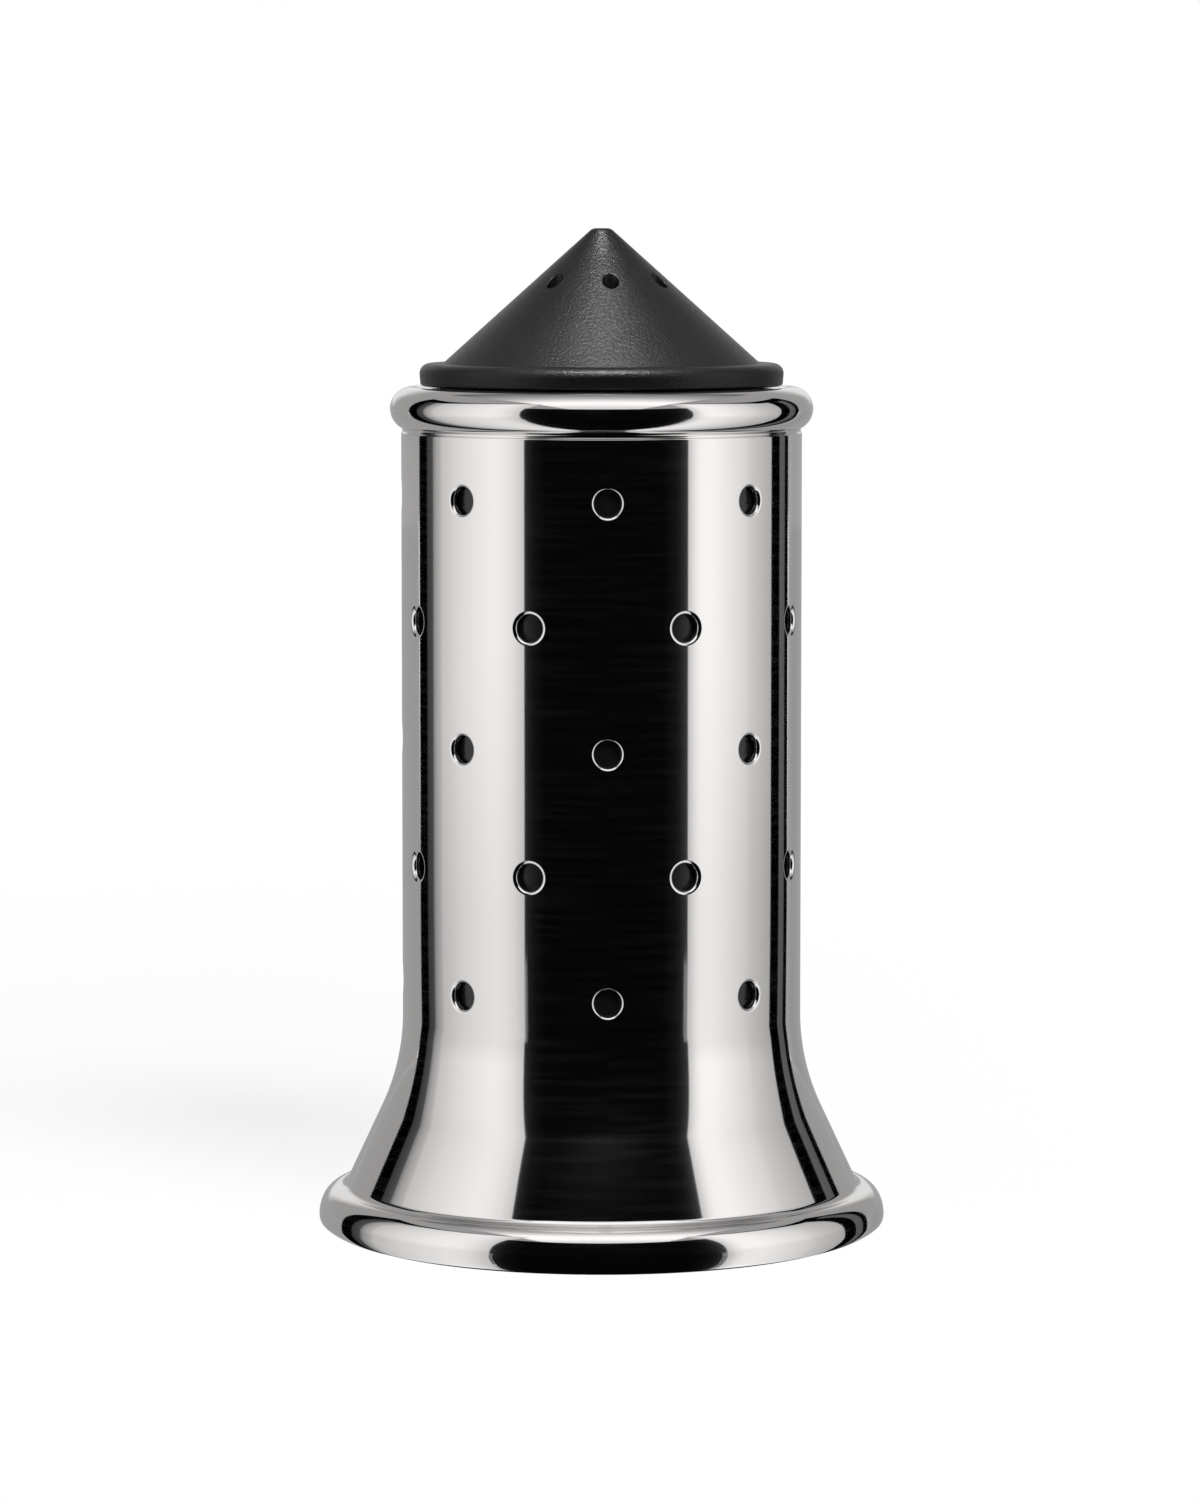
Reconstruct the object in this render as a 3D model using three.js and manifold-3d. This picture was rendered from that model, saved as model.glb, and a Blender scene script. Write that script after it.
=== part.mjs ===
// A salt shaker for the table: a mirror-polished steel sleeve with rows of punched holes and a flared foot
// stands round a black cup that holds the salt. A black conical cap screws into the cup's neck, through the
// rolled mouth of the sleeve, on a seal ring. A black cover snaps into the hollow foot and carries the cup.
//
// Lengths are in millimetres and angles in radians. Z is up, the table is at zero height, and -Y is the front.

import * as THREE from 'three';
import { mergeVertices } from 'three/addons/utils/BufferGeometryUtils.js';
import Module from 'manifold-3d';

const wasm = await Module();
wasm.setup();

const { degToRad } = THREE.MathUtils;
const quarterTurn = Math.PI / 2;
const halfTurn = Math.PI;
const fullTurn = Math.PI * 2;

// Steel sleeve, its tube and mouth
const sheet = 0.7;                      // thickness of the pressed steel
const tubeRadius = 19;                  // outside of the straight tube
const sleeveHeight = 80.8;              // crown of the rolled mouth above the table
const mouthBeadRadius = 2.07;           // half the thickness of the rolled mouth
const mouthBeadOverhang = 1.05;         // nose of the rolled mouth beyond the tube
const mouthCurlEnd = degToRad(230);     // where the roll stops, inside the mouth
const grooveDepth = 0.13;               // groove that the roll leaves under the bead
const grooveRadius = 0.25;
const grooveBlend = 0.2;                // rounding from the tube into the groove

// Steel sleeve, its flare and rolled foot
const flareStart = 21.1;                // height where the tube starts to widen
const flareRadius = 21.4;               // sweep from the tube into the slope of the foot
const flareAngle = degToRad(25.1);      // slope of the foot, from the vertical
const footFillet = 0.9;                 // rounding from the slope into the rolled foot
const footRadius = 27.05;               // nose of the rolled foot
const footNoseHeight = 1.7;             // height of that nose above the table
const footCrownHeight = 4.4;            // top of the rolled foot above the table
const footRollDepth = 1.75;             // from the nose to the middle of the curl
const footCurlEnd = degToRad(170);      // where the curl stops, inside the foot
const tableGap = 0.3;                   // the steel stands this far above the table, held by the cover

// Steel sleeve, its punched holes
const holeRadius = 1.25;
const holeRoll = 0.4;                   // the punch rolls the edge of a hole inward by this much
const lowestRowRise = 3.24;             // the lowest row's centres above the start of the flare
const topRowDrop = 10.22;               // the top row's centres below the crown of the mouth
const rowCount = 5;
const holesPerRow = 8;                  // rows are staggered by half a step

// Salt cup
const cupClearance = 0.25;              // between the cup and the inside of the tube, each side
const cupWall = 1.5;
const cupFloor = 1.8;
const cupShoulder = 2.1;                // rounding of the shoulder
const shoulderClearance = 0.4;          // between the shoulder and the end of the mouth's curl
const neckClearance = 0.27;             // between the neck and the mouth, each side
const neckWall = 1.3;
const cupSeat = 0.3;                    // between the cup's floor and the cover that carries it

// Sprinkler cap
const brimClearance = 0.05;             // underside of the brim above the level of the mouth's crown
const brimThickness = 2.14;
const brimRadius = 17.25;
const brimNose = 0.77;                  // depth of the rounded edge of the brim
const brimDip = 0.07;                   // the brim's top dips by this much where the cone starts
const coneFootRadius = 15;
const coneAngle = degToRad(48.04);      // slope of the cone, from its axis
const coneTopHeight = 12.71;            // tip of the cap above the brim's top
const tipRounding = 0.6;
const capWall = 1.6;
const skirtClearance = 0.08;            // running clearance between the skirt and the neck, each side
const skirtWall = 1.2;
const skirtLength = 6.5;                // below the underside of the brim
const skirtLeadIn = 0.4;                // chamfer at the skirt's lower edge
const pourHoleRadius = 0.75;
const pourRingRadius = 6.3;             // the pouring holes stand on this circle
const pourHoleCount = 7;
const capTurnAtRest = degToRad(6);      // how far the first pouring hole stands from the front, screwed home

// Seal ring between the brim and the neck's end
const sealThickness = 0.6;
const sealWidth = 1.15;
const sealClearance = 0.13;             // round the skirt
const sealSeat = 0.2;                   // above and below the ring

// Base cover
const coverWall = 1.4;
const coverRecess = 0.8;                // the middle of the cover stands this far above the table
const coverClearance = 0.25;            // between the cover and the curl of the foot
const restRingWidth = 3.7;              // flat ring that stands on the table
const restRingSlope = 0.8;              // its inner edge slopes up over this width
const coverEdgeInset = 0.65;            // the cover's edge lies inside the middle of the curl by this much
const snapHeight = 2.6;                 // height of the snap bead's nose
const snapReach = 0.45;                 // how far the snap bead stands out
const snapRise = 0.5;                   // height of its lower slope
const snapLand = 0.2;                   // its flat nose
const coverRimHeight = 3.2;
const cupRingClearance = 0.15;          // between the cup and the ring that centres it
const cupRingWall = 1.2;
const cupRingHeight = 6;                // top of that ring above the table

// Fineness
const roundSides = 48;
const holeSides = 10;
const shownBend = degToRad(36);         // longest step on a bend that shows
const hiddenBend = degToRad(60);        // longest step on a bend that stays hidden
const flareFineness = 5;                // the wide sweep of the flare takes steps this many times shorter

// Places that follow from the sizes above
const mouthBeadCentre = tubeRadius + mouthBeadOverhang - mouthBeadRadius;
const mouthBeadLevel = sleeveHeight - mouthBeadRadius;
const mouthRadius = mouthBeadCentre - mouthBeadRadius;
const lowestRow = flareStart + lowestRowRise;
const rowPitch = (sleeveHeight - topRowDrop - lowestRow) / (rowCount - 1);
const footCurlCentre = footRadius - footRollDepth;
const footCurlRadius = footNoseHeight - tableGap;
const coverTop = coverRecess + coverWall;
const cupBottom = coverTop + cupSeat;
const cupRadius = tubeRadius - sheet - cupClearance;
const shoulderTop = mouthBeadLevel + mouthBeadRadius * Math.sin(mouthCurlEnd) - shoulderClearance;
const neckRadius = mouthRadius - neckClearance;
const neckBore = neckRadius - neckWall;
const brimUnderside = sleeveHeight + brimClearance;
const brimTop = brimUnderside + brimThickness;
const neckTop = brimUnderside - sealSeat - sealThickness - sealSeat;
const skirtRadius = neckBore - skirtClearance;
const skirtBore = skirtRadius - skirtWall;
const capTop = brimTop + coneTopHeight;

// Points along a stretch of an ellipse in the (radius, height) plane, from one angle to another. The stretch
// is round where both half-widths are alike. Angles count from straight outward, turning upward.
function bend(centre, level, halfWidth, halfHeight, from, to, longestStep) {
  const steps = Math.ceil(Math.abs(to - from) / longestStep);
  const points = [];
  for (let i = 0; i <= steps; i += 1) {
    const angle = THREE.MathUtils.lerp(from, to, i / steps);
    points.push([centre + halfWidth * Math.cos(angle), level + halfHeight * Math.sin(angle)]);
  }
  return points;
}

// The area that an outline goes round, positive where it runs anticlockwise.
function signedArea(points) {
  let area = 0;
  points.forEach(([radius, height], i) => {
    const [nextRadius, nextHeight] = points[(i + 1) % points.length];
    area += (radius * nextHeight - nextRadius * height) / 2;
  });
  return area;
}

// Turns an outline round the Z axis. The outline either starts and ends on the axis, or is closed here. The flat
// sides touch the true circles in their middles, and one faces the front, so that every punched hole lies in
// the middle of a side.
function revolve(points, sides) {
  const outline = signedArea(points) < 0 ? points.toReversed() : [...points];
  const startsOnAxis = outline[0][0] === 0;
  if (!startsOnAxis) {
    outline.push(outline[0]);
  }
  const cornerShare = 1 / Math.cos(halfTurn / sides);
  const profile = outline.map(([radius, height]) => new THREE.Vector2(radius * cornerShare, height));
  const geometry = new THREE.LatheGeometry(profile, sides, -halfTurn / sides, fullTurn);
  geometry.rotateX(quarterTurn);
  return geometry;
}

// A closed body that booleans can work on.
function toSolid(geometry) {
  geometry.deleteAttribute('normal');
  geometry.deleteAttribute('uv');
  const merged = mergeVertices(geometry);
  const corners = merged.index.array;
  const triangles = [];
  for (let i = 0; i < corners.length; i += 3) {
    const [a, b, c] = corners.slice(i, i + 3);
    if (a !== b && b !== c && c !== a) {
      triangles.push(a, b, c);
    }
  }
  const vertProperties = merged.getAttribute('position').array;
  return new wasm.Manifold(new wasm.Mesh({ numProp: 3, vertProperties, triVerts: Uint32Array.from(triangles) }));
}

// The geometry of a body, after its booleans.
function toGeometry(solid) {
  const mesh = solid.getMesh();
  const geometry = new THREE.BufferGeometry();
  geometry.setAttribute('position', new THREE.BufferAttribute(mesh.vertProperties, mesh.numProp));
  geometry.setIndex(new THREE.BufferAttribute(mesh.triVerts, 1));
  geometry.computeVertexNormals();
  return geometry;
}

// A body without the volume of each cutter.
function cut(geometry, cutters) {
  let solid = toSolid(geometry);
  cutters.forEach((cutter) => {
    solid = solid.subtract(toSolid(cutter));
  });
  return toGeometry(solid);
}

// One face of the pressed sheet, from the curl inside the foot, round the rolled foot, up the slope, the sweep
// and the tube, past the groove and over the rolled mouth into its curl. The inset moves the face into the
// sheet: bends that turn towards the axis get tighter and the others wider.
function sleeveFace(inset, longestBend) {
  const tangentRun = Math.tan((quarterTurn - flareAngle) / 2) * footFillet;
  const sweepEndRadius = tubeRadius + flareRadius * (1 - Math.cos(flareAngle));
  const sweepEndHeight = flareStart - flareRadius * Math.sin(flareAngle);
  const slopeAtCrown = sweepEndRadius + (sweepEndHeight - footCrownHeight) * Math.tan(flareAngle);
  const footCrownRadius = slopeAtCrown + tangentRun;

  const grooveCentre = tubeRadius - grooveDepth + grooveRadius;
  const beadToGroove = grooveCentre - mouthBeadCentre;
  const grooveLevel = mouthBeadLevel - Math.sqrt((mouthBeadRadius + grooveRadius) ** 2 - beadToGroove ** 2);
  const beadContact = Math.acos(beadToGroove / (mouthBeadRadius + grooveRadius));
  const tubeFace = tubeRadius - inset;
  const groove = grooveRadius + inset;
  const bothBends = groove + grooveBlend;
  const blendContact = Math.acos((grooveCentre - tubeFace + grooveBlend) / bothBends);
  const blendLevel = grooveLevel - bothBends * Math.sin(blendContact);

  const curl = footCurlRadius - inset;
  const tightFoot = footRollDepth - inset;
  const upperFoot = footRadius - footCrownRadius - inset;
  const upperFootHeight = footCrownHeight - footNoseHeight - inset;
  const fillet = footFillet + inset;
  const sweep = flareRadius + inset;
  const bead = mouthBeadRadius - inset;
  return [
    ...bend(footCurlCentre, footNoseHeight, curl, curl, footCurlEnd, halfTurn + quarterTurn, longestBend),
    ...bend(footCurlCentre, footNoseHeight, tightFoot, curl, -quarterTurn, 0, longestBend).slice(1),
    ...bend(footCrownRadius, footNoseHeight, upperFoot, upperFootHeight, 0, quarterTurn, longestBend).slice(1),
    ...bend(footCrownRadius, footCrownHeight + footFillet, fillet, fillet,
      -quarterTurn, -halfTurn + flareAngle, longestBend).slice(1),
    ...bend(tubeRadius + flareRadius, flareStart, sweep, sweep,
      halfTurn + flareAngle, halfTurn, longestBend / flareFineness),
    ...bend(tubeFace - grooveBlend, blendLevel, grooveBlend, grooveBlend, 0, blendContact, longestBend),
    ...bend(grooveCentre, grooveLevel, groove, groove,
      halfTurn + blendContact, halfTurn - beadContact, longestBend).slice(1),
    ...bend(mouthBeadCentre, mouthBeadLevel, bead, bead, -beadContact, mouthCurlEnd, longestBend).slice(1),
  ];
}

// The body that a punch leaves open: a round bore with a wider, rolled edge, pointing out along its own row
// and column.
function punchedHole(row, column) {
  const stagger = row % 2 === 0 ? 0 : 1 / 2;
  const turn = fullTurn * (column + stagger) / holesPerRow;
  const outsideTube = tubeRadius + holeRoll;
  const cutter = revolve([
    [0, cupRadius],
    [holeRadius, cupRadius],
    [holeRadius, tubeRadius - holeRoll],
    [holeRadius + holeRoll + holeRoll, outsideTube],
    [0, outsideTube],
  ], holeSides);
  cutter.rotateX(quarterTurn);
  cutter.rotateZ(turn);
  cutter.translate(0, 0, lowestRow + row * rowPitch);
  return cutter;
}

function outerSleeve() {
  const outline = [...sleeveFace(0, shownBend), ...sleeveFace(sheet, hiddenBend).reverse()];
  const cutters = [];
  for (let row = 0; row < rowCount; row += 1) {
    for (let column = 0; column < holesPerRow; column += 1) {
      cutters.push(punchedHole(row, column));
    }
  }
  return cut(revolve(outline, roundSides), cutters);
}

// The cup's neck stands inside the rolled mouth, and its shoulder lies under the end of the mouth's curl.
function saltCup() {
  const shoulderLevel = shoulderTop - cupShoulder;
  const innerShoulder = cupShoulder - cupWall;
  return revolve([
    [0, cupBottom],
    [cupRadius - cupWall, cupBottom],
    ...bend(cupRadius - cupWall, cupBottom + cupWall, cupWall, cupWall, -quarterTurn, 0, hiddenBend).slice(1),
    ...bend(cupRadius - cupShoulder, shoulderLevel, cupShoulder, cupShoulder, 0, quarterTurn, hiddenBend),
    [neckRadius, shoulderTop],
    [neckRadius, neckTop],
    [neckBore, neckTop],
    [neckBore, shoulderTop - cupWall],
    ...bend(cupRadius - cupShoulder, shoulderLevel, innerShoulder, innerShoulder, quarterTurn, 0, hiddenBend),
    [cupRadius - cupWall, cupBottom + cupFloor],
    [0, cupBottom + cupFloor],
  ], roundSides);
}

// Radius of the cone at a height, for its outside or for a face that lies deeper in its wall.
function coneRadius(height, inset) {
  return coneFootRadius - (height - brimTop) * Math.tan(coneAngle) - inset / Math.cos(coneAngle);
}

// Height at which the inside of the cone has a radius.
function coneInsideHeight(radius) {
  return brimTop + (coneRadius(brimTop, capWall) - radius) / Math.tan(coneAngle);
}

function pourHole(index) {
  const lowEnd = coneInsideHeight(pourRingRadius + pourHoleRadius) - capWall;
  const cutter = revolve([
    [0, lowEnd],
    [pourHoleRadius, lowEnd],
    [pourHoleRadius, capTop],
    [0, capTop],
  ], holeSides);
  cutter.translate(0, -pourRingRadius, 0);
  cutter.rotateZ(fullTurn * index / pourHoleCount);
  return cutter;
}

function sprinklerCap() {
  const noseHeight = brimThickness / 2;
  const noseLevel = brimUnderside + noseHeight;
  const noseCentre = brimRadius - brimNose;
  const tipLevel = capTop - tipRounding;
  const skirtBottom = brimUnderside - skirtLength;
  const outline = [
    [0, coneInsideHeight(0)],
    [skirtBore, coneInsideHeight(skirtBore)],
    [skirtBore, skirtBottom],
    [skirtRadius - skirtLeadIn, skirtBottom],
    [skirtRadius, skirtBottom + skirtLeadIn],
    [skirtRadius, brimUnderside],
    ...bend(noseCentre, noseLevel, brimNose, noseHeight, -quarterTurn, quarterTurn, shownBend),
    [coneRadius(brimTop - brimDip, 0), brimTop - brimDip],
    ...bend(coneRadius(tipLevel, tipRounding), tipLevel, tipRounding, tipRounding,
      quarterTurn - coneAngle, quarterTurn, shownBend),
    [0, capTop],
  ];
  const cutters = [];
  for (let index = 0; index < pourHoleCount; index += 1) {
    cutters.push(pourHole(index));
  }
  return cut(revolve(outline, roundSides), cutters);
}

function capSealRing() {
  const bore = skirtRadius + sealClearance;
  const bottom = neckTop + sealSeat;
  return revolve([
    [bore, bottom],
    [bore + sealWidth, bottom],
    [bore + sealWidth, bottom + sealThickness],
    [bore, bottom + sealThickness],
  ], roundSides);
}

// The cover stands on a flat ring. Its edge follows the curl of the foot, and a bead snaps over the curl's end.
function baseCover() {
  const curlAndClearance = footCurlRadius + coverClearance;
  const edgeRadius = footCurlCentre - coverEdgeInset;
  const edgeAngle = halfTurn + Math.acos(coverEdgeInset / curlAndClearance);
  const rimRadius = footCurlCentre - curlAndClearance;
  const ringInside = edgeRadius - restRingWidth;
  const cupRing = cupRadius + cupRingClearance;
  return revolve([
    [0, coverRecess],
    [ringInside - restRingSlope, coverRecess],
    [ringInside, 0],
    [edgeRadius, 0],
    ...bend(footCurlCentre, footNoseHeight, curlAndClearance, curlAndClearance, edgeAngle, halfTurn, shownBend),
    [rimRadius, snapHeight - snapRise],
    [rimRadius + snapReach, snapHeight],
    [rimRadius + snapReach, snapHeight + snapLand],
    [rimRadius, coverRimHeight],
    [rimRadius - coverWall, coverRimHeight],
    [rimRadius - coverWall, coverWall],
    [ringInside - restRingSlope + coverRecess, coverWall],
    [ringInside - restRingSlope, coverTop],
    [cupRing + cupRingWall, coverTop],
    [cupRing + cupRingWall, cupRingHeight],
    [cupRing, cupRingHeight],
    [cupRing, coverTop],
    [0, coverTop],
  ], roundSides);
}

const polishedSteel = new THREE.MeshStandardMaterial({ color: 0xd8d9da, roughness: 0.05, metalness: 1 });
const cupPlastic = new THREE.MeshStandardMaterial({ color: 0x101011, roughness: 0.35, metalness: 0 });
const capPlastic = new THREE.MeshStandardMaterial({ color: 0x1b1b1c, roughness: 0.55, metalness: 0 });
const coverPlastic = new THREE.MeshStandardMaterial({ color: 0x161617, roughness: 0.6, metalness: 0 });
const sealRubber = new THREE.MeshStandardMaterial({ color: 0xd9d7d0, roughness: 0.5, metalness: 0 });

function namedMesh(name, geometry, material) {
  const mesh = new THREE.Mesh(geometry, material);
  mesh.name = name;
  return mesh;
}

const screwedCap = new THREE.Group();
screwedCap.rotation.z = capTurnAtRest;
screwedCap.add(namedMesh('sprinkler_cap', sprinklerCap(), capPlastic));

const saltShaker = new THREE.Group();
saltShaker.add(
  namedMesh('outer_sleeve', outerSleeve(), polishedSteel),
  namedMesh('salt_cup', saltCup(), cupPlastic),
  namedMesh('cap_seal_ring', capSealRing(), sealRubber),
  namedMesh('base_cover', baseCover(), coverPlastic),
  screwedCap,
);

export default saltShaker;
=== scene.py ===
import math

import bpy
import numpy as np
from bpy.props import FloatProperty, FloatVectorProperty, IntProperty, PointerProperty
from mathutils import Euler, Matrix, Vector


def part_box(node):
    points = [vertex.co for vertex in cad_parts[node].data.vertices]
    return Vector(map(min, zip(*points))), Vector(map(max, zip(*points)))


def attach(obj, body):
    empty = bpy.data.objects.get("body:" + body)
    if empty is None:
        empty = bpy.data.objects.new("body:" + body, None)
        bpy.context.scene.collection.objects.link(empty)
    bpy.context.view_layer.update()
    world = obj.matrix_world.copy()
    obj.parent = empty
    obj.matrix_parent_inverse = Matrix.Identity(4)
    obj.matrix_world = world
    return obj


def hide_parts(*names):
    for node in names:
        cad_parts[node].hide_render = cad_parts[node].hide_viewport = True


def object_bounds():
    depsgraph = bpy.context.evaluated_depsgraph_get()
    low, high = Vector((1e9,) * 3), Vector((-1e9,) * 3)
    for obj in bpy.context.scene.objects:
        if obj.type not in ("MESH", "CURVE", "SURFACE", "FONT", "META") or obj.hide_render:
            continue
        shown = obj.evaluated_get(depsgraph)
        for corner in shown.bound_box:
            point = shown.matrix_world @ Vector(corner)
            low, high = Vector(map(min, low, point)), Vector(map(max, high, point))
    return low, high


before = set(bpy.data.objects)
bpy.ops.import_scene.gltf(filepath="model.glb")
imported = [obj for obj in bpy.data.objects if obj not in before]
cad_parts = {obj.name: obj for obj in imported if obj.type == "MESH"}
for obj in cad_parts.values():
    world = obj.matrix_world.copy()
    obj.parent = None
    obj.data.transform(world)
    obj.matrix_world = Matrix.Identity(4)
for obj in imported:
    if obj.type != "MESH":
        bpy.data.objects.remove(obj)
CAD_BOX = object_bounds()

bl_info = {
    "name": "Salt shaker",
    "version": (1, 0, 0),
    "blender": (4, 5, 0),
    "location": "3D View > Sidebar > Salt Shaker",
    "description": "Builds the visible surfaces, finishes and studio of a steel and black plastic salt shaker",
    "category": "Add Mesh",
}

MM = 0.001                      # one millimetre in metres
WELD = 1e-8                     # points closer than this become one, in metres
QUARTER = math.pi / 2
HALF = math.pi
FULL = 2 * math.pi

# Steps of the meshes
CELL_STEPS, CELL_ROWS = 10, 12  # across and up a cell of the punched tube
CONE_STEPS, CONE_ROWS = 24, 8   # across and up a cell of the cone
ROUND_STEPS = 160               # round the cup and the base cover
SEAL_STEPS = 128                # round the seal ring
HOLE_FACE_STEPS = 6             # from a cell's edge to its hole, on each face
HOLE_EDGE_STEPS = 5             # on the rounding at each end of a hole
SHEET_END_STEPS = 6             # round the end of the steel sheet
# On the outer and on the hidden face: blend, groove and bead of the mouth, then the inner curl, the lower
# and the upper nose, the fillet and the sweep of the foot
MOUTH_STEPS = ((8, 12, 56), (4, 6, 24))
FOOT_STEPS = ((20, 20, 28, 12, 28), (10, 8, 12, 6, 12))

RING_CROWDING = 1.4             # power by which the rings of a cell crowd towards its hole
TUBE_MARGIN = 0.1               # share of the tube above the top holes that belongs to the mouth's outline
POUR_BAND = 2.6                 # half-width of the band of pouring holes, in hole radii

SLEEVE_LOW, SLEEVE_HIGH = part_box("outer_sleeve")
CAP_LOW, CAP_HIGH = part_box("sprinkler_cap")


def length(name, description, value):
    """A size in metres that a user may change."""
    return FloatProperty(name=name, description=description, default=value, unit="LENGTH", precision=5)


def angle(name, description, degrees):
    """An angle that a user may change, shown in degrees."""
    return FloatProperty(name=name, description=description, default=math.radians(degrees), subtype="ANGLE")


def amount(name, description, value):
    """A plain number that a user may change."""
    return FloatProperty(name=name, description=description, default=value, precision=4)


def colour(name, description, value):
    """A colour that a user may change, in linear light."""
    return FloatVectorProperty(
        name=name, description=description, default=value, size=3, subtype="COLOR", min=0.0, max=1.0)


class SleeveSizes(bpy.types.PropertyGroup):
    """Sizes of the pressed steel sleeve."""

    sheet: length("Sheet", "Thickness of the pressed steel", 0.7 * MM)
    tube_radius: length("Tube radius", "Outside of the straight tube", 19 * MM)
    mouth_height: length("Mouth height", "Crown of the rolled mouth above the table", SLEEVE_HIGH.z)
    bead_radius: length("Mouth bead radius", "Half the thickness of the rolled mouth", 2.07 * MM)
    bead_overhang: length("Mouth overhang", "Nose of the rolled mouth beyond the tube", 1.05 * MM)
    mouth_curl_end: angle("Mouth curl end", "Where the roll stops inside the mouth", 230)
    groove_depth: length("Groove depth", "Groove under the rolled mouth", 0.13 * MM)
    groove_radius: length("Groove radius", "Rounding of the groove's floor", 0.25 * MM)
    groove_blend: length("Groove blend", "Rounding from the tube into the groove", 0.2 * MM)
    flare_start: length("Flare start", "Height where the tube starts to widen", 21.1 * MM)
    flare_radius: length("Flare radius", "Sweep from the tube into the slope of the foot", 21.4 * MM)
    flare_angle: angle("Flare angle", "Slope of the foot, from the vertical", 25.1)
    foot_fillet: length("Foot fillet", "Rounding from the slope into the rolled foot", 0.9 * MM)
    foot_radius: length("Foot radius", "Nose of the rolled foot", (SLEEVE_HIGH.x - SLEEVE_LOW.x) / 2)
    foot_nose_height: length("Foot nose height", "Nose of the rolled foot above the table", 1.7 * MM)
    foot_crown_height: length("Foot crown height", "Top of the rolled foot above the table", 4.4 * MM)
    foot_roll_depth: length("Foot roll depth", "From the nose to the middle of the curl", 1.75 * MM)
    foot_curl_end: angle("Foot curl end", "Where the curl stops inside the foot", 170)
    table_gap: length("Table gap", "The steel stands this far above the table", SLEEVE_LOW.z)
    hole_radius: length("Hole radius", "Bore of a punched hole", 1.25 * MM)
    hole_roll: length("Hole roll", "Rounding that the punch leaves round a hole", 0.4 * MM)
    hole_burr: length("Hole inner edge", "Rounding at a hole's inner edge", 0.12 * MM)
    lowest_row: length("Lowest row", "Height of the lowest row of holes", 24.34 * MM)
    row_pitch: length("Row pitch", "Height from row to row", 11.56 * MM)
    rows: IntProperty(name="Rows", description="Rows of punched holes", default=5, min=1)
    holes_per_row: IntProperty(name="Holes per row", description="Holes round the tube in a row", default=8, min=3)


class CapSizes(bpy.types.PropertyGroup):
    """Sizes of the screw cap."""

    top: length("Top", "Tip of the cap above the table", CAP_HIGH.z)
    skirt_bottom: length("Skirt bottom", "Lower end of the screw skirt above the table", CAP_LOW.z)
    brim_underside: length("Brim underside", "Underside of the brim above the table", 80.85 * MM)
    brim_thickness: length("Brim thickness", "Thickness of the brim's rounded edge", 2.14 * MM)
    brim_radius: length("Brim radius", "Outside of the brim", 17.25 * MM)
    brim_shoulder: length("Brim shoulder", "Rounding of the brim's upper edge", 0.95 * MM)
    brim_heel: length("Brim heel", "Rounding of the brim's lower edge", 0.3 * MM)
    brim_lean: angle("Brim lean", "Lean of the brim's face, from the vertical", 5)
    brim_dip: length("Brim dip", "Dip of the brim's top where the cone starts", 0.07 * MM)
    cone_foot_radius: length("Cone foot radius", "Radius where the cone stands on the brim", 15 * MM)
    cone_angle: angle("Cone angle", "Slope of the cone, from its axis", 48.04)
    tip_rounding: length("Tip rounding", "Rounding of the tip", 0.85 * MM)
    wall: length("Wall", "Wall of the cone", 1.6 * MM)
    skirt_radius: length("Skirt radius", "Crest of the thread on the skirt", 14.26 * MM)
    skirt_wall: length("Skirt wall", "Wall of the skirt, crest of the thread included", 1.2 * MM)
    hole_radius: length("Pouring hole radius", "Bore of a pouring hole", 0.75 * MM)
    hole_edge: length("Pouring hole edge", "Rounding at a pouring hole's mouth", 0.1 * MM)
    ring_radius: length("Pouring ring radius", "Circle that the pouring holes stand on", 6.3 * MM)
    holes: IntProperty(name="Pouring holes", description="Holes round the cone", default=7, min=1)
    turn_at_rest: angle("Turn at rest", "Turn of the first pouring hole from the front", 6)


class ThreadSizes(bpy.types.PropertyGroup):
    """Sizes of the moulded thread between the cap and the cup."""

    lead: length("Lead", "Rise of the cap in one turn", 8 * MM)
    starts: IntProperty(name="Starts", description="Ridges side by side", default=2, min=1)
    depth: length("Depth", "How far a ridge stands out", 0.35 * MM)
    land: length("Land", "Width of a ridge's flat crest", 0.6 * MM)
    flank: length("Flank", "Width of a ridge's sloping side", 0.4 * MM)
    runout: length("Run-out", "Height over which a ridge fades at its ends", 0.9 * MM)


class CupSizes(bpy.types.PropertyGroup):
    """Sizes of the cup that holds the salt."""

    radius: length("Radius", "Outside of the cup", 18.05 * MM)
    wall: length("Wall", "Wall of the cup", 1.5 * MM)
    bottom: length("Bottom", "Underside of the cup above the table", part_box("salt_cup")[0].z)
    floor: length("Floor", "Thickness of the cup's floor", 1.8 * MM)
    shoulder: length("Shoulder", "Rounding of the shoulder", 2.1 * MM)
    shoulder_top: length("Shoulder top", "Top of the shoulder above the table", 76.744 * MM)
    neck_radius: length("Neck radius", "Outside of the neck", 15.64 * MM)
    neck_bore: length("Neck bore", "Inside of the neck, beside the thread", 14.34 * MM)
    neck_top: length("Neck top", "End of the neck above the table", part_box("salt_cup")[1].z)
    edge: length("Edge", "Rounding of the neck's edges", 0.25 * MM)


class SealSizes(bpy.types.PropertyGroup):
    """Sizes of the seal ring under the brim."""

    bore: length("Bore", "Inner radius", 14.39 * MM)
    width: length("Width", "Width of the ring's section", 1.15 * MM)
    bottom: length("Bottom", "Underside above the table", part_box("cap_seal_ring")[0].z)
    thickness: length("Thickness", "Thickness of the ring", 0.6 * MM)
    rib: length("Rib", "Height of the sealing rib on each face", 0.08 * MM)


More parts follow.
